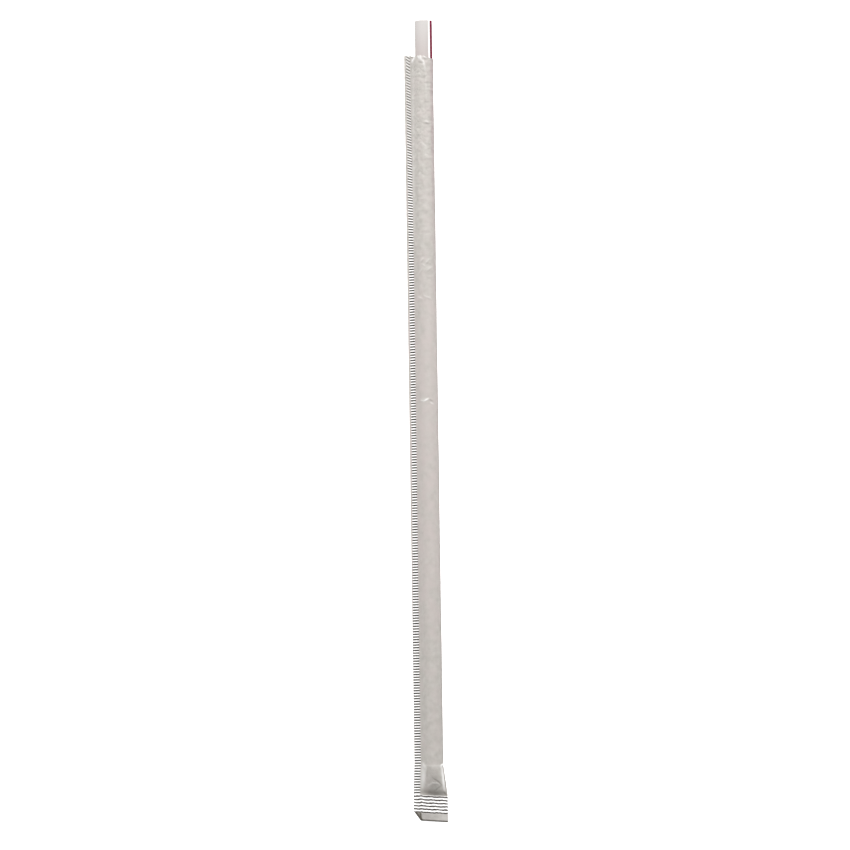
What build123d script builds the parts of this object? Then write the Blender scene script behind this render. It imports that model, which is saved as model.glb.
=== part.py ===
from build123d import *

import os
from math import acos, asin, atan2, cos, hypot, sin

# A drinking straw in its paper wrapper, lying on a table. The straw is one tube. The wrapper is
# one strip of thin paper folded round it: its two long edges are crimped together into a side
# flange, its far end is crimped flat, and its near end is torn off, so that the straw shows.
# Frame: +Z up, +Y along the straw towards its open end, the side flange towards -X, and the
# origin on the table under the middle of the whole object. Millimetres.

# Straw
straw_diameter = 6.1
straw_wall = 0.2
straw_length = 260.0
straw_exposed = 12.5  # from the straw's open end to the torn edge above its axis

# Paper
paper_thickness = 0.06
crimped_thickness = 0.16  # two layers after the crimping rolls
slip = 0.06  # gap all round between straw and paper

# Side flange
neck_width = 1.83  # from the round of the sleeve to the flange, where its two sides close up
flange_width = 2.45

# Closed end: the sleeve flattens beyond the straw, then comes the crimped seal and a plain tail
pocket_length = 10.6
seal_length = 6.1
tail_length = 3.0
flange_spread = 0.45  # how much further out the flange lies in the flat end
fold_spread = 1.55  # how much further out the side across from the flange lies there
slit_height = 0.1  # what is left of the hollow where the seal begins

# The tail's corner below the flange is folded under
corner_width = 2.4
corner_height = 3.4

# Torn edge: (share of the way across from the flange's edge, step towards the open end)
tear_points = [
    (-0.2, 0.6),
    (0.05, 0.4),
    (0.2, 0.5),
    (0.36, 0.15),
    (0.55, 0.2),
    (0.72, 0.0),
    (0.87, -0.45),
    (1.2, -0.8),
]
tear_room = 1.5  # paper beyond the torn edge, taken away by it

# Radii and layers
straw_radius = straw_diameter / 2
bore_radius = straw_radius - straw_wall
sleeve_radius = straw_radius + slip
paper_radius = sleeve_radius + paper_thickness
layer = crimped_thickness / 2
axis_height = paper_radius

# Reaches across the wrapper from the straw's axis
flange_reach = paper_radius + neck_width + flange_width
end_flange_reach = flange_reach + flange_spread
end_fold_reach = paper_radius + fold_spread

# The wrapper droops on its flange's side until the corner folded under it meets the table
corner_depth = layer + crimped_thickness
droop = asin(axis_height / hypot(end_flange_reach, corner_depth)) - atan2(corner_depth, end_flange_reach)

# The flat end is the widest stretch, so it centres the object across the frame
left_span = end_flange_reach * cos(droop) + layer * sin(droop)
right_span = end_fold_reach * cos(droop) + layer * sin(droop)
axis_x = (left_span - right_span) / 2

# Stations along the object
object_length = straw_length + pocket_length + seal_length + tail_length
straw_mouth_y = object_length / 2
tear_y = straw_mouth_y - straw_exposed
straw_foot_y = straw_mouth_y - straw_length
seal_y = straw_foot_y - pocket_length
tail_y = -object_length / 2

# The sleeve's stretch across the frame, where it is torn
tear_x = axis_x - flange_reach * cos(droop)
tear_width = flange_reach * cos(droop) + paper_radius

# The wrapper's middle plane: x across it, away from the flange, and y along the straw
middle = Plane(
    origin=(axis_x, 0, axis_height),
    x_dir=(cos(droop), 0, sin(droop)),
    z_dir=(-sin(droop), 0, cos(droop)),
)


def across(y):
    """Plane across the object at y, looking along -Y, with the same x as the middle plane."""
    return Plane(origin=(axis_x, y, axis_height), x_dir=middle.x_dir, z_dir=(0, -1, 0))


def on_circle(radius, angle):
    """Point at an angle round the straw's axis."""
    return radius * cos(angle), radius * sin(angle)


def touch_angle(root, radius):
    """Angle round the axis where the straight side that leaves the flange at root turns round."""
    return atan2(root[1], root[0]) - acos(radius / hypot(root[0], root[1]))


# Upper half of the paper round the straw: a straight side from the flange's root, then an arc
outer_root = (flange_width - flange_reach, layer)
inner_root = (flange_width - flange_reach, 0)
outer_angle = touch_angle(outer_root, paper_radius)
inner_angle = touch_angle(inner_root, sleeve_radius)
outer_touch = on_circle(paper_radius, outer_angle)
inner_touch = on_circle(sleeve_radius, inner_angle)
outer_crown = on_circle(paper_radius, outer_angle / 2)
inner_crown = on_circle(sleeve_radius, inner_angle / 2)

# The same corners where the pocket ends, each at its own share of the way to the fold
side_length = hypot(outer_touch[0] - outer_root[0], outer_touch[1] - outer_root[1])
side_share = side_length / (side_length + paper_radius * outer_angle)
end_root_x = flange_width - end_flange_reach
end_touch_x = end_root_x + side_share * (end_fold_reach - end_root_x)

# Folded corner of the tail: both ends of its fold, and where the corner lands under the tail
fold_foot = (corner_width - end_flange_reach, tail_y)
fold_head = (-end_flange_reach, tail_y + corner_height)
corner_swing = 2 * corner_width * corner_height / (corner_width**2 + corner_height**2)
landed_corner = (
    corner_swing * corner_height - end_flange_reach,
    corner_swing * corner_width + tail_y,
)

# Straw: a plain tube, cut square
with BuildPart() as straw:
    with BuildSketch(across(straw_mouth_y)):
        Circle(straw_radius)
        Circle(bore_radius, mode=Mode.SUBTRACT)
    extrude(amount=straw_length)

with BuildPart() as wrapper:
    # Upper layer of the pocket, which flattens from the straw's foot to the crimped seal
    with BuildSketch(across(straw_foot_y)):
        with BuildLine():
            Polyline((-flange_reach, 0), (-flange_reach, layer), outer_root, outer_touch)
            ThreePointArc(outer_touch, outer_crown, (paper_radius, 0))
            Line((paper_radius, 0), (sleeve_radius, 0))
            ThreePointArc((sleeve_radius, 0), inner_crown, inner_touch)
            Polyline(inner_touch, inner_root, (-flange_reach, 0))
        make_face()
    with BuildSketch(across(seal_y)):
        with BuildLine():
            Polyline(
                (-end_flange_reach, 0),
                (-end_flange_reach, layer),
                (end_root_x, layer),
                (end_touch_x, slit_height / 2 + paper_thickness),
                (end_fold_reach, 0),
                (end_fold_reach - paper_thickness, 0),
                (end_touch_x, slit_height / 2),
                (end_root_x, 0),
                close=True,
            )
        make_face()
    loft(ruled=True)

    # Upper layer of the crimped seal and the tail, whose corner ends at its fold
    with BuildSketch(middle):
        with BuildLine():
            Polyline(
                (-end_flange_reach, seal_y),
                (end_fold_reach, seal_y),
                (end_fold_reach, tail_y),
                fold_foot,
                fold_head,
                close=True,
            )
        make_face()
    extrude(amount=layer)

    # Lower layer of both
    mirror(about=middle)

    # Sleeve and flange, from beyond the torn edge to the foot of the straw
    with BuildSketch(across(tear_y + tear_room)):
        with BuildLine():
            Polyline((-flange_reach, layer), outer_root, outer_touch)
            ThreePointArc(outer_touch, outer_crown, (paper_radius, 0))
            mirror(about=Plane.XZ)
            Line((-flange_reach, layer), (-flange_reach, -layer))
        make_face()
        with BuildLine():
            Line(inner_root, inner_touch)
            ThreePointArc(inner_touch, inner_crown, (sleeve_radius, 0))
            mirror(about=Plane.XZ)
        make_face(mode=Mode.SUBTRACT)
    extrude(amount=tear_y + tear_room - straw_foot_y)

    # The tail's corner, folded under
    with BuildSketch(middle.offset(-layer)):
        with BuildLine():
            Polyline(fold_foot, fold_head, landed_corner, close=True)
        make_face()
    extrude(amount=-crimped_thickness)

    # Torn edge at the open end
    with BuildSketch(Plane.XY):
        with BuildLine():
            tear = Spline(*[(tear_x + share * tear_width, tear_y + step) for share, step in tear_points])
            Polyline(
                tear @ 1,
                ((tear @ 1).X, tear_y + 2 * tear_room),
                ((tear @ 0).X, tear_y + 2 * tear_room),
                tear @ 0,
            )
        make_face()
    extrude(amount=2 * axis_height, mode=Mode.SUBTRACT)

straw.part.label = "straw"
wrapper.part.label = "wrapper"

os.makedirs("parts", exist_ok=True)
export_step(straw.part, "parts/straw.step")
export_step(wrapper.part, "parts/wrapper.step")
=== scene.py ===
"""Looks of a wrapped drinking straw: a plastic tube with a red stripe in a torn-open paper sleeve.

The straw is turned from a cylinder. The wrapper is one strip of paper: a flat grid that is
folded round the straw, crimped along its seam and its closed end, creased, and given the
paper's thickness.
"""

import logging
from dataclasses import dataclass, field
from enum import Enum
from math import acos, cos, hypot, pi, radians, sin, sqrt
from typing import ClassVar, Union

import bpy
import numpy as np
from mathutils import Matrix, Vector


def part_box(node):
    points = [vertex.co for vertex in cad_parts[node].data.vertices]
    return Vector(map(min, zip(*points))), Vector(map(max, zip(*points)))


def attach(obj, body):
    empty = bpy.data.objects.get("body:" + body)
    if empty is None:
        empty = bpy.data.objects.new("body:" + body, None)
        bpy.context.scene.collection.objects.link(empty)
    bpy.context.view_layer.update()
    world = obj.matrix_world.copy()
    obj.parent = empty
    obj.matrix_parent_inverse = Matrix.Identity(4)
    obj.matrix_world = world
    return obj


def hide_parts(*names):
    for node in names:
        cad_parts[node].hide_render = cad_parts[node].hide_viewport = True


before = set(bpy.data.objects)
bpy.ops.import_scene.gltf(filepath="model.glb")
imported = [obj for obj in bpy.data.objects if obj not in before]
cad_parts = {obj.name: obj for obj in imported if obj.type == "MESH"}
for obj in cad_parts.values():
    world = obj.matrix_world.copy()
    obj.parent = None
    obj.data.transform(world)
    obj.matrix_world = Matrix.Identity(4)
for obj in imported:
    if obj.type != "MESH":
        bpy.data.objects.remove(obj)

Colour = tuple[float, float, float, float]
Place = tuple[float, float]
Socket = bpy.types.NodeSocket
Source = Union[Socket, float, Colour]

LOG = logging.getLogger("wrapped_straw")
MM = 0.001
PAPER_MAP = "paper_map"
# Attribute that holds the painted highlights and painted shade of the creases and the tail
LIGHT_SHADE_ATTRIBUTE = "light_shade_paint"
WHITE: Colour = (1.0, 1.0, 1.0, 1.0)

# Millimetres that count as none, between rows of the paper's grid and in a division
SAME_ROW = 1e-3
NO_LENGTH = 1e-6

# Where the slope that is turned away from the lamp lies, from one ridge of a crimp at 0 to the next
# at 1; the crimps' painted shade lines sit there
AWAY_SLOPE = 0.75


class Body(Enum):
    """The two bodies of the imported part."""

    STRAW = "straw"
    WRAPPER = "wrapper"


def start_object(name: str) -> bpy.types.Object:
    """Name the primitive that was just added.

    Args:
        name: the piece's name.

    Returns:
        The active object, renamed with its mesh.
    """
    piece = bpy.context.object
    piece.name = name
    piece.data.name = name
    return piece


def apply_modifier(piece: bpy.types.Object, kind: str, **settings: object) -> None:
    """Add a modifier with its settings and apply it.

    Args:
        piece: the mesh object to change.
        kind: the modifier's type, such as SOLIDIFY.
        settings: the modifier's own settings.
    """
    modifier = piece.modifiers.new(kind.lower(), kind)
    for key, value in settings.items():
        setattr(modifier, key, value)
    bpy.context.view_layer.objects.active = piece
    bpy.ops.object.modifier_apply(modifier=modifier.name)


def select_only(piece: bpy.types.Object) -> None:
    """Deselect everything and make one piece the selected and active one.

    Args:
        piece: the mesh object to select.
    """
    bpy.ops.object.select_all(action="DESELECT")
    piece.select_set(True)
    bpy.context.view_layer.objects.active = piece


def vertex_array(piece: bpy.types.Object) -> np.ndarray:
    """Read a mesh's vertices.

    Args:
        piece: the mesh object.

    Returns:
        An array of shape (vertices, 3).
    """
    flat = np.empty(len(piece.data.vertices) * 3)
    piece.data.vertices.foreach_get("co", flat)
    return flat.reshape(-1, 3)


def write_vertices(piece: bpy.types.Object, points: np.ndarray) -> None:
    """Write a mesh's vertices back from an array of shape (vertices, 3)."""
    piece.data.vertices.foreach_set("co", points.reshape(-1))
    piece.data.update()


def smooth_step(low: float, high: float, value: np.ndarray) -> np.ndarray:
    """Rise smoothly from 0 at low to 1 at high, which may lie below it."""
    share = np.clip((value - low) / (high - low), 0.0, 1.0)
    return share * share * (3.0 - 2.0 * share)


class Shader:
    """Adds and joins the nodes of one material or one node group."""

    # Sockets of a Mix node that mixes colours
    MIX_SHARE, MIX_FIRST, MIX_SECOND, MIX_RESULT = 0, 6, 7, 2

    def __init__(self, tree: bpy.types.NodeTree) -> None:
        """Keep the tree that the nodes go into."""
        self.tree = tree

    def node(self, kind: str, **settings: object) -> bpy.types.Node:
        """Add a node.

        Args:
            kind: the node's type.
            settings: its properties.

        Returns:
            The new node.
        """
        made = self.tree.nodes.new(kind)
        for key, value in settings.items():
            setattr(made, key, value)
        return made

    def join(self, source: Source, target: Socket) -> None:
        """Link a socket to another, or set it where the source is a plain value.

        Args:
            source: the socket or the value to read.
            target: the input that takes it.
        """
        if isinstance(source, bpy.types.NodeSocket):
            self.tree.links.new(source, target)
        else:
            target.default_value = source

    def math(self, operation: str, *values: Source, clamp: bool = False) -> Socket:
        """Add a Math node.

        Args:
            operation: its operation.
            values: sockets or numbers for its inputs, in order.
            clamp: whether the result is kept between 0 and 1.

        Returns:
            The node's output.
        """
        made = self.node("ShaderNodeMath", operation=operation, use_clamp=clamp)
        for value, target in zip(values, made.inputs):
            self.join(value, target)
        return made.outputs[0]

    def split(self, vector: Socket) -> bpy.types.Node:
        """Take a vector apart.

        Args:
            vector: the vector's socket.

        Returns:
            The node whose outputs are X, Y and Z.
        """
        made = self.node("ShaderNodeSeparateXYZ")
        self.join(vector, made.inputs[0])
        return made

    def ramp(self, value: Source, low: float, high: float) -> Socket:
        """Rise smoothly from 0 at low to 1 at high.

        Args:
            value: the socket to look up.
            low: where the rise starts.
            high: where it ends, which may be below its start.

        Returns:
            The height, between 0 and 1.
        """
        flip = low > high
        made = self.node("ShaderNodeMapRange", interpolation_type="SMOOTHSTEP")
        self.join(value, made.inputs["Value"])
        made.inputs["From Min"].default_value = min(low, high)
        made.inputs["From Max"].default_value = max(low, high)
        made.inputs["To Min"].default_value = 1.0 if flip else 0.0
        made.inputs["To Max"].default_value = 0.0 if flip else 1.0
        return made.outputs["Result"]

    def band(self, value: Source, low: float, high: float, soft: float) -> Socket:
        """Give 1 between two values, with soft edges.

        Args:
            value: the socket to look up.
            low: the band's lower edge.
            high: its upper edge.
            soft: how wide each edge is.

        Returns:
            The mask, between 0 and 1.
        """
        half = soft / 2
        rise = self.ramp(value, low - half, low + half)
        fall = self.ramp(value, high + half, high - half)
        return self.math("MULTIPLY", rise, fall)

    def mix(self, share: Source, first: Source, second: Source) -> Socket:
        """Mix two colours.

        Args:
            share: how much of the second colour shows.
            first: a socket or an RGBA tuple.
            second: a socket or an RGBA tuple.

        Returns:
            The mixed colour.
        """
        made = self.node("ShaderNodeMix", data_type="RGBA")
        self.join(share, made.inputs[self.MIX_SHARE])
        self.join(first, made.inputs[self.MIX_FIRST])
        self.join(second, made.inputs[self.MIX_SECOND])
        return made.outputs[self.MIX_RESULT]

    def scaled(self, colour: Socket, factor: float) -> Socket:
        """Make a colour lighter or darker.

        Args:
            colour: the colour's socket.
            factor: what each channel is multiplied by.

        Returns:
            The new colour.
        """
        made = self.node("ShaderNodeVectorMath", operation="SCALE")
        self.join(colour, made.inputs[0])
        made.inputs["Scale"].default_value = factor
        return made.outputs[0]

    def bump(self, height: Socket, strength: float, depth: float, target: Socket) -> None:
        """Turn a height into relief.

        Args:
            height: the height's socket.
            strength: how strongly the relief shows, from 0 to 1.
            depth: how deep a height of 1 is, in metres.
            target: the shader's Normal.
        """
        made = self.node("ShaderNodeBump")
        made.inputs["Strength"].default_value = strength
        made.inputs["Distance"].default_value = depth
        self.join(height, made.inputs["Height"])
        self.join(made.outputs[0], target)


def new_material(name: str) -> tuple[bpy.types.Material, Shader, bpy.types.Node]:
    """Start a material.

    Args:
        name: the material's name.

    Returns:
        The material, the shader that fills its tree, and its Principled BSDF.
    """
    material = bpy.data.materials.new(name)
    material.use_nodes = True
    shader = Shader(material.node_tree)
    return material, shader, material.node_tree.nodes["Principled BSDF"]


@dataclass(frozen=True)
class Grain:
    """Fine unevenness from one shared node group, for the paper and the tube's drawn surface.

    Attributes:
        size: the grain's size, in the unit of the coordinates that it follows.
        detail: how many finer layers it has.
    """

    size: float
    detail: float

    @staticmethod
    def group() -> bpy.types.NodeTree:
        """Build the group once, and return it from then on.

        Returns:
            The group: Place, Size and Detail in, Height out, from -0.5 to 0.5.
        """
        name = "fine_grain"
        if name in bpy.data.node_groups:
            return bpy.data.node_groups[name]
        tree = bpy.data.node_groups.new(name, "ShaderNodeTree")
        for socket, way, kind in (
            ("Place", "INPUT", "NodeSocketVector"),
            ("Size", "INPUT", "NodeSocketFloat"),
            ("Detail", "INPUT", "NodeSocketFloat"),
            ("Height", "OUTPUT", "NodeSocketFloat"),
        ):
            tree.interface.new_socket(socket, in_out=way, socket_type=kind)
        shader = Shader(tree)
        given = shader.node("NodeGroupInput")
        result = shader.node("NodeGroupOutput")
        noise = shader.node("ShaderNodeTexNoise")
        shader.join(given.outputs["Place"], noise.inputs["Vector"])
        shader.join(shader.math("DIVIDE", 1.0, given.outputs["Size"]), noise.inputs["Scale"])
        shader.join(given.outputs["Detail"], noise.inputs["Detail"])
        centred = shader.math("SUBTRACT", noise.outputs["Fac"], 0.5)
        shader.join(centred, result.inputs["Height"])
        return tree

    def place(self, shader: Shader, where: Socket) -> Socket:
        """Put the group into a material.

        Args:
            shader: the material's shader.
            where: the coordinates that the pattern follows.

        Returns:
            The group's Height.
        """
        made = shader.node("ShaderNodeGroup", node_tree=self.group())
        shader.join(where, made.inputs["Place"])
        made.inputs["Size"].default_value = self.size
        made.inputs["Detail"].default_value = self.detail
        return made.outputs["Height"]


@dataclass(frozen=True)
class StripedPlastic:
    """Translucent white plastic with a red stripe between two white ones, drawn into the wall."""

    body: Colour = (0.465, 0.444, 0.432, 1.0)
    # Painted shade: the darker, pinker colour that the tube takes away from its open end
    inner: Colour = (0.412, 0.369, 0.357, 1.0)
    lit_length: float = 14.0 * MM
    white: Colour = (0.92, 0.92, 0.91, 1.0)
    red: Colour = (0.145, 0.0015, 0.028, 1.0)
    stripe_middle: float = radians(61.0)
    stripe_width: float = radians(32.0)
    border_width: float = radians(12.0)
    edge_softness: float = radians(2.0)
    streak: Grain = Grain(0.4 * MM, 3.0)
    streak_squeeze: tuple[float, float, float] = (1.0, 0.05, 1.0)
    cloud: Grain = Grain(6.0 * MM, 2.0)
    unevenness: float = 0.10
    darkest: float = 0.9
    lightest: float = 1.1
    roughness: float = 0.5
    roughness_change: float = 0.15
    relief: float = 0.12
    relief_depth: float = 0.02 * MM
    ior: float = 1.49
    gloss_level: float = 0.06

    def build(self, axis: Vector, mouth: float) -> bpy.types.Material:
        """Make the material for a tube along Y, with painted light, lighter towards its mouth where
        light falls in, and painted shade, darker and pinker, towards the paper.

        Args:
            axis: a point on the tube's axis.
            mouth: the y of its open end.

        Returns:
            The material.
        """
        material, shader, principled = new_material("striped_plastic")
        place = shader.node("ShaderNodeTexCoord").outputs["Object"]
        split = shader.split(place)
        across = shader.math("SUBTRACT", split.outputs["X"], axis.x)
        up = shader.math("SUBTRACT", split.outputs["Z"], axis.z)
        angle = shader.math("ARCTAN2", across, up)
        half = self.stripe_width / 2
        low, high = self.stripe_middle - half, self.stripe_middle + half
        outer_low, outer_high = low - self.border_width, high + self.border_width
        border = shader.band(angle, outer_low, outer_high, self.edge_softness)
        stripe = shader.band(angle, low, high, self.edge_softness)
        streaks = shader.node("ShaderNodeVectorMath", operation="MULTIPLY")
        shader.join(place, streaks.inputs[0])
        streaks.inputs[1].default_value = self.streak_squeeze
        drawn = self.streak.place(shader, streaks.outputs[0])
        cloud = self.cloud.place(shader, place)
        clouded = shader.math("MULTIPLY_ADD", cloud, self.unevenness, 0.5)
        shade = shader.math("MULTIPLY_ADD", drawn, self.unevenness, clouded)
        # Painted light and shade: lighter near the open end, darker towards the paper
        lit = shader.ramp(split.outputs["Y"], mouth - self.lit_length, mouth)
        body = shader.mix(lit, self.inner, self.body)
        darker, lighter = shader.scaled(body, self.darkest), shader.scaled(body, self.lightest)
        body = shader.mix(shade, darker, lighter)
        colour = shader.mix(border, body, self.white)
        colour = shader.mix(stripe, colour, self.red)
        shader.join(colour, principled.inputs["Base Color"])
        rough = shader.math("MULTIPLY_ADD", drawn, self.roughness_change, self.roughness)
        shader.join(rough, principled.inputs["Roughness"])
        shader.bump(drawn, self.relief, self.relief_depth, principled.inputs["Normal"])
        principled.inputs["IOR"].default_value = self.ior
        principled.inputs["Specular IOR Level"].default_value = self.gloss_level
        return material


@dataclass(frozen=True)
class PaperSockets:
    """What the paper's marks follow.

    Attributes:
        shader: the material's shader.
        wrapper: the wrapper, for the places of its crimps.
        place: the paper's map.
        around: the distance from the fold.
        along: the place along the straw, as the crimps count it.
        mottle: the paper's coarse unevenness.
        fibre: its fine unevenness.
    """

    shader: Shader
    wrapper: "PaperWrapper"
    place: Socket
    around: Socket
    along: Socket
    mottle: Socket
    fibre: Socket


@dataclass(frozen=True)
class CrimpedPaper:
    """Thin grey-white wrapping paper with painted light and shade on its crimps, fold, creases and
    tail.

    Its sizes are in millimetres on the paper's own map, and its pairs are where something starts
    and where it ends.
    """

    # Colours
    paper: Colour = (0.484, 0.464, 0.434, 1.0)
    dark_spot: Colour = (0.395, 0.372, 0.345, 1.0)
    # Painted shade and painted highlight: dark lines on the crimps' slopes turned away from the
    # lamp, white lines on the lit slopes
    painted_crimp_shade: Colour = (0.036, 0.023, 0.019, 1.0)
    raised: Colour = (0.96, 0.96, 0.95, 1.0)
    # Painted highlight and painted shade, for the creases, the fold and the tail
    painted_highlight: Colour = (0.97, 0.97, 0.96, 1.0)
    painted_shade: Colour = (0.12, 0.108, 0.088, 1.0)
    # Painted light: the straw's red stripe seen through the paper, painted into the paper's colour
    show_through: Colour = (0.36, 0.26, 0.28, 1.0)
    blush: Colour = (0.492, 0.442, 0.424, 1.0)

    # The paper's own unevenness
    mottle: Grain = Grain(2.2, 4.0)
    fibre: Grain = Grain(0.25, 2.0)
    mottle_spots: float = 2.2
    fibre_spots: float = 0.9
    spot_share: float = 0.40
    roughness: float = 0.66
    roughness_change: float = 0.2
    ior: float = 1.4

    # Warmer patches, mostly in the middle of the sleeve
    patch: Grain = Grain(5.0, 2.0)
    patch_contrast: float = 2.2
    patch_stretch: Place = (-70.0, 45.0)
    patch_softness: float = 50.0
    patch_most: float = 0.5
    patch_least: float = 0.12

    # Painted shade along the fold at the sleeve's side, and the straw's stripe painted as seen
    # through the paper
    fold_line: Place = (-0.75, 0.1)
    fold_softness: float = 0.35
    fold_share: float = 0.40
    stripe_place: Place = (-0.55, 1.45)
    stripe_softness: float = 0.7
    stripe_stretch: Place = (15.0, 118.0)
    stripe_mottle: float = 0.5
    stripe_share: float = 0.42

    # Painted light and shade of the crimps: white lines on slopes facing the lamp, dark ones on
    # slopes turned away
    line_middle: float = 0.72
    line_share: float = 0.51
    line_softness: float = 0.24
    highlight_line_share: float = 0.85
    seam_softness: float = 0.08
    seam_start: Place = (-0.3, 0.1)
    shift_back: float = 2.0
    mouth_fade: float = 0.35
    seal_overrun: float = 0.1
    seal_softness: float = 0.2
    # Unevenness of the painted shade lines on the end seal's crimps
    crimp_shade_grain: Grain = Grain(0.8, 2.0)
    crimp_shade_change: float = 1.6
    crimp_shade_share: float = 0.85

    # Relief, with crumples where the paper was handled
    relief: float = 0.6
    relief_depth: float = 0.10 * MM
    mottle_relief: float = 1.5
    wide_crumple: Grain = Grain(3.0, 0.5)
    narrow_crumple: Grain = Grain(1.4, 0.5)
    narrow_share: float = 0.5
    handled_from: float = 40.0
    handled_more: float = 8.0
    handled_least: float = 3.0

    def build(self, wrapper: "PaperWrapper") -> bpy.types.Material:
        """Make the material that follows the wrapper's own paper map.

        Args:
            wrapper: the wrapper, for the places of its crimps.

        Returns:
            The material.
        """
        material, shader, principled = new_material("crimped_paper")
        place = shader.node("ShaderNodeUVMap", uv_map=PAPER_MAP).outputs[0]
        split = shader.split(place)
        mottle, fibre = (grain.place(shader, place) for grain in (self.mottle, self.fibre))
        sockets = PaperSockets(
            shader, wrapper, place, split.outputs["X"], split.outputs["Y"], mottle, fibre
        )
        colour = self._plain_paper(sockets)
        # Painted show-through of the straw's stripe
        colour = shader.mix(self._stripe_behind(sockets), colour, self.show_through)
        # Painted shade: a grey line along the fold at the sleeve's side
        folded = shader.band(sockets.around, *self.fold_line, self.fold_softness)
        colour = shader.mix(shader.math("MULTIPLY", folded, self.fold_share), colour, self.painted_shade)
        # Painted highlight and painted shade on the crimps of the seam and the end seal
        for raised, painted_crimp_shade in (self._seam_light_and_shade(sockets), self._seal_light_and_shade(sockets)):
            colour = shader.mix(raised, colour, self.raised)
            colour = shader.mix(painted_crimp_shade, colour, self.painted_crimp_shade)
        # Painted highlight and painted shade from the creases and the tail
        tone = shader.node("ShaderNodeAttribute", attribute_name=LIGHT_SHADE_ATTRIBUTE).outputs["Fac"]
        whitened = shader.math("MAXIMUM", tone, 0.0, clamp=True)
        darkened = shader.math("MULTIPLY", tone, -1.0, clamp=True)
        colour = shader.mix(whitened, colour, self.painted_highlight)
        colour = shader.mix(darkened, colour, self.painted_shade)
        shader.join(colour, principled.inputs["Base Color"])
        rough = shader.math("MULTIPLY_ADD", mottle, self.roughness_change, self.roughness)
        shader.join(rough, principled.inputs["Roughness"])
        principled.inputs["IOR"].default_value = self.ior
        relief = shader.math("MULTIPLY_ADD", mottle, self.mottle_relief, fibre)
        relief = shader.math("ADD", relief, self._crumples(sockets))
        shader.bump(relief, self.relief, self.relief_depth, principled.inputs["Normal"])
        return material

    def _plain_paper(self, sockets: PaperSockets) -> Socket:
        """Colour the paper itself, with dark spots and warmer patches.

        Args:
            sockets: what the colour follows.

        Returns:
            The colour.
        """
        shader = sockets.shader
        spots = shader.math("MULTIPLY_ADD", sockets.fibre, self.fibre_spots, self.spot_share)
        spots = shader.math("MULTIPLY_ADD", sockets.mottle, self.mottle_spots, spots, clamp=True)
        colour = shader.mix(spots, self.paper, self.dark_spot)
        middle = shader.band(sockets.along, *self.patch_stretch, self.patch_softness)
        middle = shader.math("MULTIPLY_ADD", middle, self.patch_most, self.patch_least)
        patches = self.patch.place(shader, sockets.place)
        patches = shader.math("MULTIPLY_ADD", patches, self.patch_contrast, middle, clamp=True)
        return shader.mix(patches, colour, self.blush)

    def _crumples(self, sockets: PaperSockets) -> Socket:
        """Crumple the paper finely, more so towards the torn end.

        Args:
            sockets: what the crumples follow.

        Returns:
            Their height.
        """
        shader = sockets.shader
        near_mouth = shader.ramp(sockets.along, self.handled_from, sockets.wrapper.mouth)
        handled = shader.math("MULTIPLY_ADD", near_mouth, self.handled_more, self.handled_least)
        wide, narrow = (
            shader.math("ABSOLUTE", grain.place(shader, sockets.place))
            for grain in (self.wide_crumple, self.narrow_crumple)
        )
        crumple = shader.math("MULTIPLY_ADD", narrow, self.narrow_share, wide)
        return shader.math("MULTIPLY", crumple, handled)

    def _stripe_behind(self, sockets: PaperSockets) -> Socket:
        """Paint the straw's stripe, as it shows faintly through the paper, into the paper near the
        torn end.

        Args:
            sockets: what the stripe follows.

        Returns:
            Its mask.
        """
        shader = sockets.shader
        across = shader.band(sockets.around, *self.stripe_place, self.stripe_softness)
        near_mouth = shader.ramp(sockets.along, *self.stripe_stretch)
        clear = shader.math("MULTIPLY_ADD", sockets.mottle, self.stripe_mottle, self.stripe_share)
        shown = shader.math("MULTIPLY", across, near_mouth)
        return shader.math("MULTIPLY", shown, clear, clamp=True)

    def _lines(self, shader: Shader, phase: Socket, zone: Socket) -> tuple[Socket, Socket]:
        """Turn a rising phase into lines of painted highlight and painted shade.

        Args:
            shader: the material's shader.
            phase: the crimps counted along the paper, where a slope turned away is at AWAY_SLOPE.
            zone: where the crimps are, as a mask.

        Returns:
            The masks of the painted highlight lines and of the painted shade lines.
        """
        part = shader.math("FRACT", phase)
        low, high = self.line_middle - self.line_share / 2, self.line_middle + self.line_share / 2
        painted_crimp_shade = shader.band(part, low, high, self.line_softness)
        # Painted highlight on the slopes facing the lamp
        raised = shader.math("SUBTRACT", 1.0, painted_crimp_shade)
        return (
            shader.math("MULTIPLY", raised, shader.math("MULTIPLY", zone, self.highlight_line_share)),
            shader.math("MULTIPLY", painted_crimp_shade, zone),
        )

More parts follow.
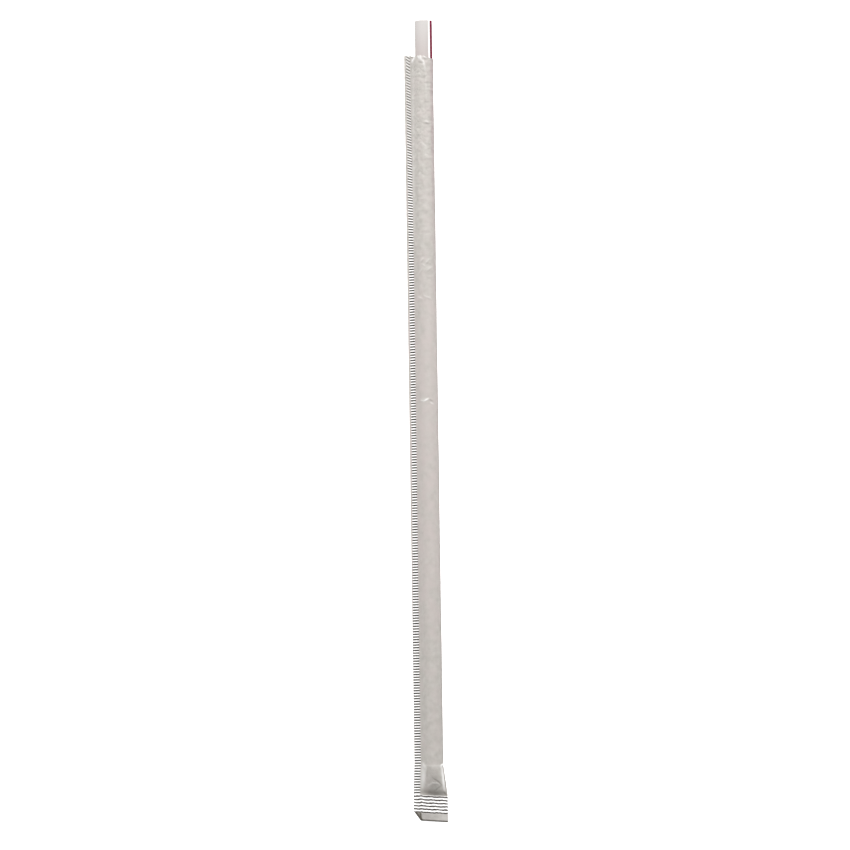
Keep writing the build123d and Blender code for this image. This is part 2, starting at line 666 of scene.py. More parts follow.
    def _seam_light_and_shade(self, sockets: PaperSockets) -> tuple[Socket, Socket]:
        """Paint highlight and shade lines onto the crimps of the side seam, fainter near the torn
        end.

        Args:
            sockets: what the marks follow.

        Returns:
            The masks of the painted highlight lines and of the painted shade lines.
        """
        shader, wrapper, along = sockets.shader, sockets.wrapper, sockets.along
        soft = self.seam_softness
        from_fold = shader.math("ABSOLUTE", sockets.around)
        from_edge = shader.math("SUBTRACT", wrapper.half_web, from_fold)
        near_mouth = shader.ramp(along, *wrapper.faint_stretch)
        wider = shader.ramp(along, *wrapper.margin_stretch)
        outward = shader.math("MULTIPLY_ADD", wider, -wrapper.mouth_margin, from_edge)
        further = shader.math("MULTIPLY_ADD", near_mouth, -self.shift_back, wider)
        inward = shader.math("MULTIPLY_ADD", further, -wrapper.middle_shift, from_edge)
        outer = shader.ramp(outward, wrapper.seam_margin - soft, wrapper.seam_margin + soft)
        inner = shader.ramp(inward, wrapper.flange_width + soft, wrapper.flange_width - soft)
        across = shader.math("MULTIPLY", outer, inner)
        low, high = (wrapper.seal_start + step for step in self.seam_start)
        zone = shader.math("MULTIPLY", across, shader.ramp(along, low, high))
        fade = shader.math("MULTIPLY_ADD", near_mouth, -self.mouth_fade, 1.0)
        phase = shader.math("DIVIDE", along, wrapper.seam_pitch)
        raised, painted_crimp_shade = self._lines(shader, phase, shader.math("MULTIPLY", zone, fade))
        return shader.math("MULTIPLY", raised, fade), painted_crimp_shade

    def _seal_light_and_shade(self, sockets: PaperSockets) -> tuple[Socket, Socket]:
        """Paint highlight and shade lines onto the crimps of the end seal, with the painted shade
        uneven.

        Args:
            sockets: what the marks follow.

        Returns:
            The masks of the raised and of the pressed lines.
        """
        shader, wrapper = sockets.shader, sockets.wrapper
        crimps = shader.math("DIVIDE", sockets.along, wrapper.seal_pitch)
        phase = shader.math("ADD", crimps, wrapper.seal_phase)
        low = wrapper.seal_end - self.seal_overrun
        zone = shader.band(sockets.along, low, wrapper.seal_start, self.seal_softness)
        raised, painted_crimp_shade = self._lines(shader, phase, zone)
        uneven = self.crimp_shade_grain.place(shader, sockets.place)
        uneven = shader.math("MULTIPLY_ADD", uneven, self.crimp_shade_change, self.crimp_shade_share)
        return raised, shader.math("MULTIPLY", painted_crimp_shade, uneven, clamp=True)


@dataclass(frozen=True)
class TableWhite:
    """A plain white table, lit so evenly that shadows hardly show on it."""

    colour: Colour = (0.90, 0.90, 0.90, 1.0)
    roughness: float = 0.9
    glow: float = 0.85

    def build(self) -> bpy.types.Material:
        """Make the material.

        Returns:
            The material.
        """
        material, shader, principled = new_material("table_white")
        principled.inputs["Base Color"].default_value = self.colour
        principled.inputs["Roughness"].default_value = self.roughness
        principled.inputs["Emission Color"].default_value = WHITE
        seen = shader.node("ShaderNodeLightPath").outputs["Is Camera Ray"]
        glow = shader.math("MULTIPLY", seen, self.glow)
        shader.join(glow, principled.inputs["Emission Strength"])
        return material


@dataclass
class StrawTube:
    """The straw: a tube along Y, cut square, with its lips just broken."""

    wall: float = 0.2 * MM
    lip: float = 0.03 * MM
    lip_steps: int = 2
    lip_angle: float = radians(50.0)
    smooth_angle: float = radians(35.0)
    sides: int = 128
    finish: StripedPlastic = field(default_factory=StripedPlastic)

    def build(self) -> bpy.types.Object:
        """Model the tube at the size of its CAD node and dress it.

        Returns:
            The finished piece.
        """
        low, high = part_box(Body.STRAW.value)
        middle = (low + high) / 2
        bpy.ops.object.select_all(action="DESELECT")
        bpy.ops.mesh.primitive_cylinder_add(
            vertices=self.sides,
            radius=(high.x - low.x) / 2,
            depth=high.y - low.y,
            end_fill_type="NOTHING",
            location=middle,
            rotation=(pi / 2, 0.0, 0.0),
        )
        tube = start_object("straw_tube")
        bpy.ops.object.transform_apply(location=True, rotation=True, scale=True)
        apply_modifier(tube, "SOLIDIFY", thickness=self.wall, offset=-1.0, use_even_offset=True)
        apply_modifier(
            tube,
            "BEVEL",
            width=self.lip,
            segments=self.lip_steps,
            limit_method="ANGLE",
            angle_limit=self.lip_angle,
        )
        select_only(tube)
        bpy.ops.object.shade_smooth_by_angle(angle=self.smooth_angle)
        tube.data.materials.append(self.finish.build(middle, high.y))
        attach(tube, Body.STRAW.value)
        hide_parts(Body.STRAW.value)
        return tube


@dataclass(frozen=True)
class Crease:
    """A crease in the paper's upper side, between two places on the table's plane, in millimetres.

    Attributes:
        start: the x and y of one end.
        end: the x and y of the other end.
        height: how far the paper stands out there.
        width: how far to its sides it reaches.
        tone: how much painted highlight it has, or painted shade where it is negative.
    """

    start: Place
    end: Place
    height: float
    width: float
    tone: float = 0.0

    TAPER_START: ClassVar[float] = 0.12
    TAPER_RUN: ClassVar[float] = 0.76
    SHORT: ClassVar[float] = 10.0
    MARGIN: ClassVar[float] = 0.6

    def share(self, x: np.ndarray, y: np.ndarray) -> np.ndarray:
        """Work out how near the crease each point is.

        Args:
            x: the points' x.
            y: the points' y.

        Returns:
            The nearness, from 0 far away to 1 on the crease.
        """
        run_x, run_y = self.end[0] - self.start[0], self.end[1] - self.start[1]
        length = hypot(run_x, run_y)
        away_x, away_y = x - self.start[0], y - self.start[1]
        forward = np.clip((away_x * run_x + away_y * run_y) / length**2, 0.0, 1.0)
        distance = np.hypot(away_x - forward * run_x, away_y - forward * run_y)
        taper = np.sin(pi * (self.TAPER_START + self.TAPER_RUN * forward))
        return taper * np.exp(-((distance / self.width) ** 2))

    def reaches(self, low: float, high: float) -> bool:
        """Tell whether the crease is a short one that crosses a stretch of the paper."""
        bottom, top = sorted((self.start[1], self.end[1]))
        return top - bottom < self.SHORT and bottom - self.MARGIN < high and top + self.MARGIN > low


@dataclass(frozen=True)
class Wave:
    """A wave over the paper: its height, its radians a millimetre each way, and its first angle."""

    height: float
    around: float
    along: float
    start: float = 0.0

    def at(self, around: np.ndarray, along: np.ndarray) -> np.ndarray:
        """Work out its heights at places round the paper and along the straw."""
        return self.height * np.sin(self.around * around + self.along * along + self.start)


MOUTH_CREASES = (
    Crease((-1.5, 127.2), (-2.7, 125.4), 0.30, 0.26, 0.90),
    Crease((-0.6, 127.5), (0.1, 125.8), 0.22, 0.30, 0.45),
    Crease((0.3, 127.4), (0.6, 125.6), 0.20, 0.26, 0.55),
    Crease((1.2, 127.4), (2.1, 126.9), 0.18, 0.30, 0.55),
    Crease((1.1, 125.9), (1.6, 124.2), 0.20, 0.26, 0.50),
    Crease((1.65, 124.0), (1.75, 122.2), 0.14, 0.24, 0.30),
    Crease((-4.9, 128.2), (-4.3, 127.2), 0.12, 0.36, -1.0),
    Crease((-3.9, 128.0), (-3.4, 127.3), 0.12, 0.32, -0.9),
    Crease((-2.9, 127.9), (-2.4, 127.1), 0.12, 0.36, -1.0),
    Crease((1.98, 122.0), (1.95, 112.0), 0.05, 0.22, 0.10),
    Crease((1.55, 121.0), (1.75, 104.5), -0.04, 0.20, -0.10),
    Crease((-2.3, 125.0), (-2.9, 60.0), 0.07, 0.35, 0.16),
)

SLEEVE_CREASES = (
    Crease((1.5, 104.6), (2.7, 104.2), 0.08, 0.22, 0.28),
    Crease((0.9, 104.1), (2.9, 103.7), 0.06, 0.22, -0.32),
    Crease((-1.0, 96.1), (0.0, 97.3), 0.07, 0.26, 0.10),
    Crease((0.0, 97.3), (1.9, 95.9), 0.07, 0.26, 0.12),
    Crease((-1.6, 92.3), (-0.9, 90.6), 0.07, 0.26, 0.12),
    Crease((-1.35, 92.4), (-1.15, 90.4), -0.05, 0.20, -0.14),
    Crease((-1.3, 85.9), (-0.75, 87.8), -0.08, 0.22, -0.15),
    Crease((-0.75, 87.8), (0.65, 86.1), -0.06, 0.22, -0.11),
    Crease((-0.8, 85.8), (-0.2, 87.0), 0.08, 0.24, 0.10),
    Crease((-0.7, 55.7), (0.3, 56.9), 0.12, 0.24, 0.14),
    Crease((-0.6, 55.2), (0.4, 56.4), -0.04, 0.16, -0.12),
    Crease((-0.1, 54.8), (0.8, 54.1), 0.12, 0.24, 0.16),
    Crease((0.1, 54.3), (1.0, 53.6), -0.04, 0.18, -0.14),
    Crease((0.9, 55.0), (2.3, 56.6), 0.12, 0.24, 0.15),
    Crease((1.1, 54.6), (2.5, 56.1), -0.05, 0.18, -0.15),
    Crease((1.7, 55.5), (3.0, 54.7), 0.10, 0.24, -0.14),
    Crease((1.3, 52.5), (3.1, 53.9), 0.12, 0.24, 0.16),
    Crease((1.5, 52.1), (3.2, 53.4), -0.04, 0.18, -0.13),
    Crease((-1.3, 51.5), (-0.2, 53.4), 0.08, 0.24, 0.10),
    Crease((-1.0, 51.3), (0.1, 53.1), -0.04, 0.18, -0.12),
    Crease((-1.8, 43.7), (-0.1, 42.7), 0.08, 0.26, 0.14),
    Crease((0.4, 43.8), (2.9, 42.7), 0.09, 0.26, 0.16),
    Crease((-1.3, 7.4), (-0.2, 7.1), 0.12, 0.26, 0.25),
    Crease((-0.2, 7.1), (1.4, 8.0), 0.20, 0.26, 0.70),
    Crease((1.5, 7.9), (2.7, 7.1), 0.12, 0.26, -0.35),
    Crease((1.9, 6.7), (3.0, 6.0), 0.10, 0.26, 0.30),
)

POCKET_CREASES = (
    Crease((3.6, -120.2), (4.5, -119.4), 0.26, 0.34, 0.95),
    Crease((3.3, -119.5), (4.5, -118.8), 0.05, 0.18, -0.30),
    Crease((-2.5, -119.2), (-1.5, -120.9), 0.15, 0.50, 0.30),
    Crease((-2.4, -120.6), (-2.6, -128.8), 0.24, 0.70, 0.34),
    Crease((-1.5, -120.6), (-2.1, -127.0), 0.12, 0.50, 0.22),
    Crease((-0.6, -119.9), (-1.5, -126.6), -0.04, 0.22, -0.14),
    Crease((4.05, -120.6), (4.95, -128.8), 0.32, 0.38, 0.75),
    Crease((4.62, -120.8), (5.60, -128.6), 0.0, 0.20, -0.95),
    Crease((-1.5, -120.0), (3.8, -120.0), 0.06, 0.35, 0.12),
    Crease((0.9, -124.3), (2.7, -125.4), -0.10, 0.22, -0.40),
    Crease((2.5, -125.3), (4.0, -126.7), -0.14, 0.24, -0.55),
    Crease((4.0, -126.8), (1.6, -128.9), -0.12, 0.24, -0.40),
    Crease((-1.3, -127.6), (1.0, -126.1), 0.12, 0.30, 0.16),
    Crease((0.8, -126.0), (3.2, -126.3), 0.14, 0.32, 0.20),
    Crease((4.7, -129.2), (5.7, -130.3), 0.0, 0.35, -0.50),
    Crease((-3.1, -129.3), (5.4, -129.9), -0.05, 0.95, -0.60),
)


@dataclass
class PaperWrapper:
    """The wrapper: one strip of paper round the straw. Its own sizes are in millimetres.

    Places on the paper are given by the distance round it from the fold across from the seam,
    positive on the upper layer, and by the place along the straw.
    """

    # Section round the straw, and the seam's flange
    thickness: float = 0.06
    layer_gap: float = 0.04
    round_radius: float = 3.14
    root_reach: float = 5.0
    flange_width: float = 2.45
    droop: float = radians(21.9)
    bare_end: float = 12.5

    # Closed end, which sinks and spreads by powers of the way down the pocket
    pocket_length: float = 10.6
    seal_length: float = 6.1
    flange_spread: float = 0.45
    fold_spread: float = 1.80
    fold_closing: float = 0.3
    sink_power: float = 1.8
    spread_power: float = 0.75

    # Crimps
    seam_pitch: float = 0.94
    seal_pitch: float = 1.11
    seam_height: float = 0.17
    seal_height: float = 0.19
    first_slope: float = 0.4
    crimp_fade: float = 0.4
    seam_margin: float = 0.14
    mouth_margin: float = 0.64
    margin_fade: float = 0.14
    margin_stretch: Place = (-90.0, -5.0)
    middle_shift: float = 0.28
    mouth_flatness: float = 0.3
    faint_stretch: Place = (55.0, 125.0)
    seam_fade: Place = (-0.1, 0.5)
    seal_fade: Place = (-0.2, 0.1)

    # How the crimps slant on the seam, and waver and step aside on the seal
    mouth_slant: float = 0.50
    foot_slant: float = -0.05
    slant_stretch: Place = (40.0, 118.0)
    waver: tuple[Wave, ...] = (Wave(0.06, 1.5, 0.9), Wave(0.05, 4.3, -2.1))
    kink_height: float = 0.22
    kink_width: float = 0.5

    # Looseness of the sleeve
    slack: float = 0.07
    slack_waves: tuple[Wave, ...] = (Wave(0.25, 0.5, 0.21), Wave(0.25, -0.9, 0.083, 1.0))
    mouth_slack: float = 0.08
    mouth_slack_length: float = 14.0
    facing_up: float = 0.3

    # Tail and its folded corner, at places across the wrapper
    tail_sag: float = 0.22
    sag_stretch: Place = (3.5, -5.0)
    cut_drop: float = 0.25
    cut_drop_length: float = 0.5
    corner_width: float = 2.4
    corner_height: float = 3.4
    corner_gaps: float = 4.0
    corner_ease: float = 0.15
    least_height: float = 0.6

    # Painted shade on the tail: a darker corner and seam root, and dark lines at the fold and the
    # cut; painted light on the rest
    corner_shade: float = 0.50
    corner_edge: Place = (-5.0, -5.25)
    tail_light: float = 0.10
    root_shade: float = 0.60
    root_outer: Place = (-5.75, -5.55)
    root_inner: Place = (-5.0, -5.2)
    fold_shade: Place = (0.80, 0.55)
    fold_edge: Place = (-4.5, -5.0)
    cut_shade: Place = (0.66, 0.46)

    # Torn edge: (x, step towards the open end)
    tear_steps: tuple[Place, ...] = (
        (-5.4, 0.85),
        (-3.2, 0.55),
        (-1.9, 0.05),
        (-1.2, 0.15),
        (0.0, 0.22),
        (1.5, -0.05),
        (2.2, -0.35),
        (3.0, -0.65),
        (4.6, -0.95),
    )
    tear_waves: tuple[Wave, ...] = (
        Wave(0.05, 5.3, 0.0, 0.6),
        Wave(0.04, 11.1, 0.0),
        Wave(0.04, 2.3, 0.0, 2.0),
    )
    tear_length: float = 6.0

    # Grid, with finer columns on the upper side and finer rows near both ends
    flange_columns: int = 6
    neck_columns: int = 6
    upper_columns: int = 28
    lower_columns: int = 12
    upper_from: float = -1.5
    rows_per_crimp: int = 4
    tail_rows: int = 15
    fine_foot: float = 5.0
    fine_mouth: float = 7.0
    smooth_angle: float = radians(60.0)
    finish: CrimpedPaper = field(default_factory=CrimpedPaper)

    def __post_init__(self) -> None:
        """Take the places along the straw from the CAD frame."""
        straw_low, straw_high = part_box(Body.STRAW.value)
        paper_low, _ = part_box(Body.WRAPPER.value)
        self.axis = (straw_low + straw_high) / (2 * MM)
        self.foot = straw_low.y / MM
        self.tail = paper_low.y / MM
        self.mouth = straw_high.y / MM - self.bare_end
        self.seal_start = self.foot - self.pocket_length
        self.seal_end = self.seal_start - self.seal_length
        self.seal_phase = AWAY_SLOPE - (self.seal_start - self.first_slope) / self.seal_pitch
        self.touch_angle = pi - acos(self.round_radius / self.root_reach)
        self.arc_length = self.round_radius * self.touch_angle
        self.neck_length = sqrt(self.root_reach**2 - self.round_radius**2)
        self.root = self.arc_length + self.neck_length
        self.half_web = self.root + self.flange_width
        self.end_flange = self.root_reach + self.flange_width + self.flange_spread
        self.end_fold = self.round_radius + self.fold_spread
        self.creases = MOUTH_CREASES + SLEEVE_CREASES + POCKET_CREASES

    def column_places(self) -> np.ndarray:
        """Place the grid's columns round the paper, closer together on the upper side.

        Returns:
            The distances from the fold, from the lower seam edge to the upper one.
        """
        flange = np.linspace(0.0, self.flange_width, self.flange_columns + 1)
        neck = np.linspace(self.arc_length, self.root, self.neck_columns + 1)
        low_neck = -neck[::-1]
        low_arc = np.linspace(-self.arc_length, self.upper_from, self.lower_columns + 1)
        high_arc = np.linspace(self.upper_from, self.arc_length, self.upper_columns + 1)
        inner_parts = [part[1:] for part in (low_neck, low_arc, high_arc, neck, self.root + flange)]
        return np.concatenate([flange - self.half_web, *inner_parts])

    def row_places(self) -> np.ndarray:
        """Place the grid's rows along the straw, a whole number to each crimp.

        Returns:
            The places along the straw, from the tail to the torn end.
        """
        step = self.seam_pitch / self.rows_per_crimp
        sleeve = np.arange(self.seal_start, self.mouth - step / 2, step)
        seal_step = self.seal_pitch / (2 * self.rows_per_crimp)
        seal = np.arange(self.seal_end, self.seal_start - seal_step / 2, seal_step)
        tail = np.linspace(self.tail, self.seal_end, self.tail_rows)[:-1]
        return np.concatenate([tail, seal, sleeve, [self.mouth]])

    def fine_rows(self, rows: np.ndarray) -> np.ndarray:
        """Find the rows that the sleeve needs too, and not only its seam.

        Args:
            rows: the places of all rows.

        Returns:
            A truth value for each row.
        """
        fine = np.arange(len(rows)) % self.rows_per_crimp == 0
        fine |= (rows < self.foot + self.fine_foot) | (rows > self.mouth - self.fine_mouth)
        for place in np.arange(self.foot, self.mouth, 1.0):
            if any(crease.reaches(place, place + 1.0) for crease in SLEEVE_CREASES):
                fine |= (rows >= place) & (rows <= place + 1.0)
        return fine

    def section(self, around: np.ndarray, along: np.ndarray) -> tuple[np.ndarray, np.ndarray]:
        """Fold the paper round the straw, or flat beyond it.

        Args:
            around: distances from the fold.
            along: places along the straw.

        Returns:
            The points' places across the wrapper and above its middle plane.
        """
        far = np.abs(around)
        side = np.where(around < 0.0, -1.0, 1.0)
        angle = np.minimum(far, self.arc_length) / self.round_radius
        neck = np.clip((far - self.arc_length) / self.neck_length, 0.0, 1.0)
        touch_x = self.round_radius * cos(self.touch_angle)
        touch_y = self.round_radius * sin(self.touch_angle)
        on_flange = np.clip(far - self.root, 0.0, None)
        on_arc = far <= self.arc_length
        straight_x = touch_x + neck * (-self.root_reach - touch_x) - on_flange
        straight_y = touch_y + neck * (self.layer_gap - touch_y)
        round_x = np.where(on_arc, self.round_radius * np.cos(angle), straight_x)
        round_y = np.where(on_arc, self.round_radius * np.sin(angle), straight_y)
        squeeze = (self.end_fold + self.end_flange - self.flange_width) / self.root
        flat_seam = -self.end_flange + self.half_web - far
        flat_x = np.where(far <= self.root, self.end_fold - squeeze * far, flat_seam)
        layers = np.where(around < 0.0, 2.0, 1.0)
        flat_y = self.layer_gap * np.minimum(far / self.fold_closing, 1.0) * layers
        share = self.pocket_share(along)
        sunk = share**self.sink_power
        spread = share**self.spread_power
        across = (1.0 - spread) * round_x + spread * flat_x
        above = side * ((1.0 - sunk) * round_y + sunk * flat_y)
        return across, above

    def pocket_share(self, along: np.ndarray) -> np.ndarray:
        """Tell how far down the pocket places are, from 0 at the straw's foot to 1 at the seal."""
        return np.clip((self.foot - along) / self.pocket_length, 0.0, 1.0)

    def crimp_place(self, around: np.ndarray, along: np.ndarray) -> np.ndarray:
        """Find the place along the crimps, which slant on the seam and waver on the end seal.

        Args:
            around: distances from the fold.
            along: places along the straw.

        Returns:
            The places, which the crimps follow.
        """
        from_edge = self.half_web - np.abs(around)
        near_mouth = smooth_step(*self.slant_stretch, along)
        slant = self.foot_slant + near_mouth * (self.mouth_slant - self.foot_slant)
        on_seam = smooth_step(self.flange_width + self.crimp_fade, self.flange_width, from_edge)
        seal_top = self.seal_start + self.crimp_fade
        on_seal = smooth_step(seal_top, self.seal_start + self.seam_fade[0], along)
        waver = sum(wave.at(from_edge, along) for wave in self.waver)
        past_root = from_edge - self.flange_width - self.kink_width
        kink = self.kink_height * np.exp(-((past_root / self.kink_width) ** 2))
        return along + (1.0 - on_seal) * on_seam * slant * from_edge + on_seal * (waver - kink)

    def crimp(self, around: np.ndarray, along: np.ndarray) -> np.ndarray:
        """Press the rolls' ridges into the seam and the end seal.

        Args:
            around: distances from the fold.
            along: places along the straw.

        Returns:
            How far both layers are pushed up.
        """
        from_edge = self.half_web - np.abs(around)
        place = self.crimp_place(around, along)
        near_mouth = smooth_step(*self.faint_stretch, along)
        inner = smooth_step(self.flange_width, self.flange_width - self.crimp_fade, from_edge)
        margin = self.seam_margin + self.mouth_margin * smooth_step(*self.margin_stretch, along)
        outer = smooth_step(-self.margin_fade, self.margin_fade, from_edge - margin)
        seam_low, seam_high = (self.seal_start + step for step in self.seam_fade)
        seam_zone = inner * outer * smooth_step(seam_low, seam_high, along)
        below, above = self.seal_fade
        seal_zone = smooth_step(self.seal_end + below, self.seal_end + above, along)
        seal_top = smooth_step(self.seal_start + above, self.seal_start + below, along)
        seal_zone = seal_zone * seal_top
        seam_height = self.seam_height * (1.0 - self.mouth_flatness * near_mouth)
        seam = seam_height * np.cos(2 * pi * place / self.seam_pitch)
        seal = self.seal_height * np.cos(2 * pi * (place / self.seal_pitch + self.seal_phase))
        return seam * seam_zone + seal * seal_zone

    def upward(self, around: np.ndarray) -> np.ndarray:
        """Tell how far the paper faces up, from 0 on the lower side to 1 on the upper side."""
        angle = np.clip(around, -self.arc_length, self.arc_length) / self.round_radius
        return smooth_step(0.0, self.facing_up, np.sin(angle + self.droop))

    def loose(self, around: np.ndarray, along: np.ndarray) -> np.ndarray:
        """Let the sleeve stand off the straw in slow waves.

        Args:
            around: distances from the fold.
            along: places along the straw.

        Returns:
            How far the paper stands off, never under 0.
        """
        slow = sum((wave.at(around, along) for wave in self.slack_waves), 0.5)
        near_mouth = smooth_step(self.mouth - self.mouth_slack_length, self.mouth, along)
        gap = self.slack * slow + self.mouth_slack * near_mouth
        return gap * smooth_step(self.root, self.arc_length, np.abs(around))

    def to_table(self, across: np.ndarray, above: np.ndarray) -> tuple[np.ndarray, np.ndarray]:
        """Turn places on the drooping wrapper's plane into x and z above the table.

        Args:
            across: places across the wrapper.
            above: heights above its middle plane.

        Returns:
            The x and the z, in millimetres.
        """
        x = self.axis.x + across * cos(self.droop) - above * sin(self.droop)
        z = self.axis.z + across * sin(self.droop) + above * cos(self.droop)
        return x, z

    def place(self, around: np.ndarray, along: np.ndarray) -> np.ndarray:
        """Fold, crimp and crease the flat paper.

        Args:
            around: distances from the fold.
            along: places along the straw.

        Returns:
            Points in metres, of shape (points, 3).
        """
        across, above = self.section(around, along)
        x, _ = self.to_table(across, above)
        share = self.pocket_share(along)
        distance = np.maximum(np.hypot(across, above), NO_LENGTH)
        raised = sum(crease.height * crease.share(x, along) for crease in self.creases)
        lift = self.loose(around, along) + raised * self.upward(around)
        across = across + (1.0 - share) * lift * across / distance
        above = above + lift * ((1.0 - share) * above / distance + share * np.sign(around))
        above = above + self.crimp(around, along)
        step = np.interp(x, *zip(*self.tear_steps))
        rough = sum(wave.at(around, along) for wave in self.tear_waves)
        near_tear = smooth_step(self.mouth - self.tear_length, self.mouth, along)
        torn = along + (step + rough) * near_tear
        across, torn, above = self.fold_corner(across, torn, above)
        beyond = np.clip(self.seal_end - torn, 0.0, None)
        above = above - self.tail_sag * beyond * smooth_step(*self.sag_stretch, across)
        cut = smooth_step(self.tail + self.cut_drop_length, self.tail, torn)
        above = above - self.cut_drop * cut
        x, z = self.to_table(across, above)
        lowest = self.least_height * self.thickness
        return np.stack([x, torn, np.maximum(z, lowest)], axis=1) * MM

    def inside_corner(self, across: np.ndarray, along: np.ndarray) -> np.ndarray:
        """Measure how far inside the line that cuts the tail's corner off places are.

        Args:
            across: places across the wrapper.
            along: places along the straw.

        Returns:
            The distances, under 0 in the corner.
        """
        length = hypot(self.corner_width, self.corner_height)
        from_foot = across + self.end_flange - self.corner_width
        inside = from_foot * self.corner_height / length
        return inside + (along - self.tail) * self.corner_width / length

    def fold_corner(
        self, across: np.ndarray, along: np.ndarray, above: np.ndarray
    ) -> tuple[np.ndarray, np.ndarray, np.ndarray]:
        """Turn the tail's corner under, about the line that cuts it off.

        Args:
            across: places across the wrapper.
            along: places along the straw.
            above: heights above the wrapper's middle plane.

        Returns:
            The same three, with the corner landed under the tail.
        """
        length = hypot(self.corner_width, self.corner_height)
        beyond = np.clip(-self.inside_corner(across, along), 0.0, None)
        turned = beyond > NO_LENGTH
        across = across + 2.0 * beyond * self.corner_height / length
        along = along + 2.0 * beyond * self.corner_width / length
        under = -above - self.corner_gaps * self.layer_gap
        ease = np.clip(beyond / self.corner_ease, 0.0, 1.0)
        above = np.where(turned, above * (1.0 - ease) + under * ease, above)
        return across, along, above

    def tone(self, around: np.ndarray, along: np.ndarray) -> np.ndarray:
        """Work out the painted highlights and painted shade of the creases, and the painted shade
        of the tail.

        Args:
            around: distances from the fold.
            along: places along the straw.

        Returns:
            The tone, over 0 for painted highlight and under 0 for painted shade.
        """
        across, above = self.section(around, along)
        x, _ = self.to_table(across, above)
        marks = sum(crease.tone * crease.share(x, along) for crease in self.creases)
        marks = marks * self.upward(around)
        below, over = self.seal_fade
        on_tail = smooth_step(self.seal_end + over, self.seal_end + below, along)
        corner = smooth_step(*self.corner_edge, across)
        root = smooth_step(*self.root_outer, across) * smooth_step(*self.root_inner, across)
        shaded = self.corner_shade * corner - self.tail_light * (1.0 - corner)
        shaded = shaded + self.root_shade * root
        fold = smooth_step(*self.fold_shade, self.inside_corner(across, along))
        fold = fold * smooth_step(*self.fold_edge, across) * on_tail
        cut = smooth_step(*self.cut_shade, along - self.tail)
        return marks - on_tail * shaded - np.maximum(cut, fold)

    def build(self) -> bpy.types.Object:
        """Model the paper and dress it.

        Returns:
            The finished piece.
        """
        columns, rows = self.column_places(), self.row_places()
        bpy.ops.object.select_all(action="DESELECT")
        last_column, last_row = len(columns) - 1, len(rows) - 1
        bpy.ops.mesh.primitive_grid_add(
            x_subdivisions=last_column, y_subdivisions=last_row, size=1.0
        )
        paper = start_object("wrapper_paper")
        flat = vertex_array(paper)
        column = np.rint((flat[:, 0] + 0.5) * last_column).astype(int)
        row = np.rint((flat[:, 1] + 0.5) * last_row).astype(int)
        flat[:, 0], flat[:, 1], flat[:, 2] = columns[column], rows[row], 0.0
        write_vertices(paper, flat)
        self._merge_rows(paper, rows)
        self._score_corner(paper)
        flat = vertex_array(paper)
        self._map_paper(paper, flat)
        write_vertices(paper, self.place(flat[:, 0], flat[:, 1]))
        apply_modifier(paper, "SOLIDIFY", thickness=self.thickness * MM, offset=0.0)
        select_only(paper)
        bpy.ops.object.shade_smooth_by_angle(angle=self.smooth_angle)
        paper.data.materials.append(self.finish.build(self))
        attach(paper, Body.WRAPPER.value)
        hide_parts(Body.WRAPPER.value)
        return paper

    def _merge_rows(self, paper: bpy.types.Object, rows: np.ndarray) -> None:
        """Dissolve the sleeve's edges on the rows that only the seam needs.

        Args:
            paper: the flat grid.
            rows: the places of its rows.
        """
        mesh = paper.data
        points = vertex_array(paper)
        ends = np.empty(len(mesh.edges) * 2, dtype=np.int32)
        mesh.edges.foreach_get("vertices", ends)
        first, second = points[ends[0::2]], points[ends[1::2]]
        level = np.abs(first[:, 1] - second[:, 1]) < SAME_ROW
        farther = np.maximum(np.abs(first[:, 0]), np.abs(second[:, 0]))
        inside = farther < self.root + SAME_ROW
        row = np.clip(np.searchsorted(rows, first[:, 1] - SAME_ROW), 0, len(rows) - 1)
        spare = level & inside & ~self.fine_rows(rows)[row]
        select_only(paper)
        bpy.ops.object.mode_set(mode="EDIT")
        bpy.ops.mesh.select_mode(type="EDGE")
        bpy.ops.mesh.select_all(action="DESELECT")
        bpy.ops.object.mode_set(mode="OBJECT")
        mesh.edges.foreach_set("select", spare)
        bpy.ops.object.mode_set(mode="EDIT")
        bpy.ops.mesh.dissolve_edges(use_verts=True)
        bpy.ops.object.mode_set(mode="OBJECT")

    def _score_corner(self, paper: bpy.types.Object) -> None:
        """Cut the flat grid's faces along the corner's fold, in both layers.

        Args:
            paper: the flat grid.
        """
        select_only(paper)
        bpy.ops.object.mode_set(mode="EDIT")
        for side in (-1.0, 1.0):
            bpy.ops.mesh.select_all(action="SELECT")
            foot = (side * (self.half_web - self.corner_width), self.tail, 0.0)
            normal = Vector((side * self.corner_height, -self.corner_width, 0.0)).normalized()
            bpy.ops.mesh.bisect(plane_co=foot, plane_no=normal, use_fill=False)
        bpy.ops.object.mode_set(mode="OBJECT")

    def _map_paper(self, paper: bpy.types.Object, flat: np.ndarray) -> None:
        """Keep each point's place along the crimps as the paper's own map, and its painted
        highlight and shade.

        Args:
            paper: the flat grid.
            flat: its vertices.
        """
        around, along = flat[:, 0], flat[:, 1]
        mapped = np.stack([around, self.crimp_place(around, along)], axis=1)
        layer = paper.data.uv_layers.new(name=PAPER_MAP)
        corners = np.empty(len(paper.data.loops), dtype=np.int32)
        paper.data.loops.foreach_get("vertex_index", corners)
        layer.data.foreach_set("uv", mapped[corners].reshape(-1))
        tone = paper.data.attributes.new(LIGHT_SHADE_ATTRIBUTE, "FLOAT", "POINT")
        tone.data.foreach_set("value", self.tone(around, along))


@dataclass
class Table:
    """The white table under the object."""

    size: float = 30.0
    finish: TableWhite = field(default_factory=TableWhite)

    def build(self) -> bpy.types.Object:
        """Lay the table's top at the object's foot.

        Returns:
            The table, which is no part of the object.
        """
        bpy.ops.object.select_all(action="DESELECT")
        bpy.ops.mesh.primitive_plane_add(size=self.size)
        table = start_object("table_top")
        table.data.materials.append(self.finish.build())
        return table


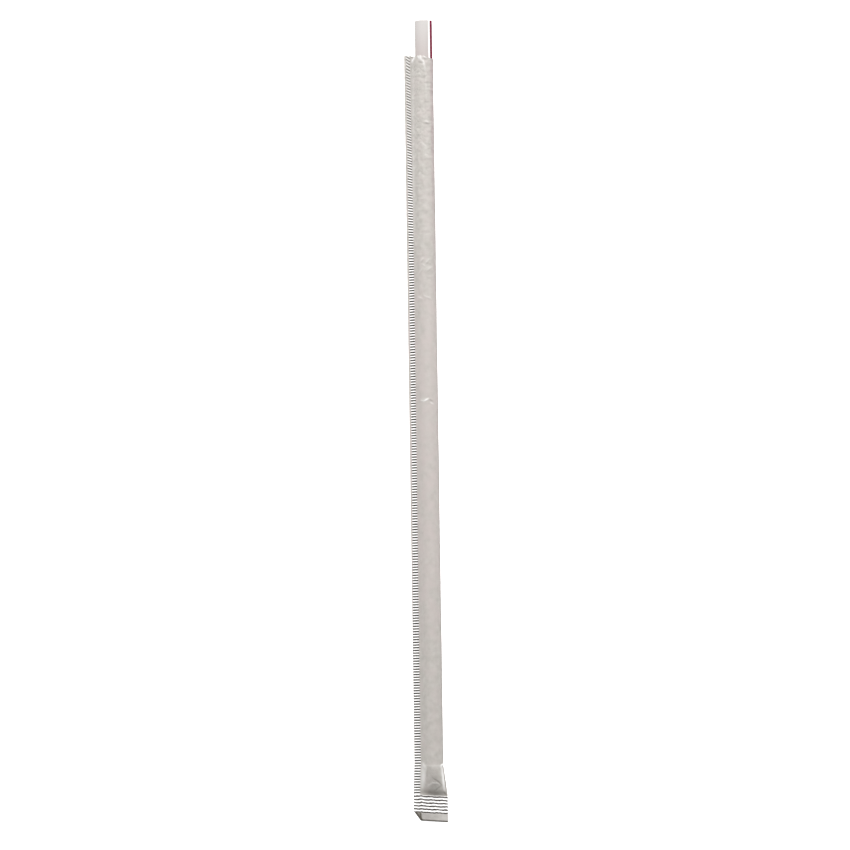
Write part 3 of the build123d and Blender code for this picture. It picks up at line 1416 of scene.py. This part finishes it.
@dataclass
class Studio:
    """Soft light, mostly from beyond the straw's open end, and the camera straight above."""

    even_light: float = 0.30
    window_light: float = 2.35
    lamp_power: float = 3.2
    lamp_width: float = 1.2
    lamp_depth: float = 0.35
    lamp_place: tuple[float, float, float] = (0.0, 0.33, 0.42)
    lamp_aim: tuple[float, float, float] = (0.0, 0.02, 0.0)
    camera_place: tuple[float, float, float] = (0.0, -0.00122, 0.92)
    camera_turn: float = radians(-0.84)
    lens: float = 111.16
    farthest_seen: float = 50.0

    def build(self) -> bpy.types.Object:
        """Light the scene and set up its camera.

        Returns:
            The camera.
        """
        scene = bpy.context.scene
        scene.view_settings.view_transform = "Standard"
        scene.world = self._sky()
        bpy.ops.object.light_add(type="AREA", location=self.lamp_place)
        lamp = bpy.context.object
        lamp.name = "soft_lamp"
        lamp.data.shape = "RECTANGLE"
        lamp.data.size = self.lamp_width
        lamp.data.size_y = self.lamp_depth
        lamp.data.energy = self.lamp_power
        aim = Vector(self.lamp_aim) - Vector(self.lamp_place)
        lamp.rotation_euler = aim.to_track_quat("-Z", "Y").to_euler()
        turn = (0.0, 0.0, self.camera_turn)
        bpy.ops.object.camera_add(location=self.camera_place, rotation=turn)
        camera = bpy.context.object
        camera.name = "overhead_camera"
        camera.data.lens = self.lens
        camera.data.clip_end = self.farthest_seen
        scene.camera = camera
        return camera

    def _sky(self) -> bpy.types.World:
        """Make a sky that brightens towards +Y, as a wide window does.

        Returns:
            The world.
        """
        world = bpy.data.worlds.new("studio_sky")
        world.use_nodes = True
        shader = Shader(world.node_tree)
        split = shader.split(shader.node("ShaderNodeTexCoord").outputs["Generated"])
        towards = shader.math("MAXIMUM", split.outputs["Y"], 0.0)
        strength = shader.math("MULTIPLY_ADD", towards, self.window_light, self.even_light)
        background = world.node_tree.nodes["Background"]
        background.inputs["Color"].default_value = WHITE
        shader.join(strength, background.inputs["Strength"])
        return world


def corners(box: tuple[Vector, Vector]) -> list[list[float]]:
    """Turn a box's two corners into plain lists."""
    return [list(box[0]), list(box[1])]


def main() -> None:
    """Build the straw, its wrapper, the table, the light and the camera."""
    logging.basicConfig(level=logging.INFO, format="%(name)s: %(message)s")
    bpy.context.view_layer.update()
    for maker in (StrawTube(), PaperWrapper(), Table()):
        piece = maker.build()
        LOG.info("%s: %d faces", piece.name, len(piece.data.polygons))
    Studio().build()


if __name__ == "__main__":
    main()
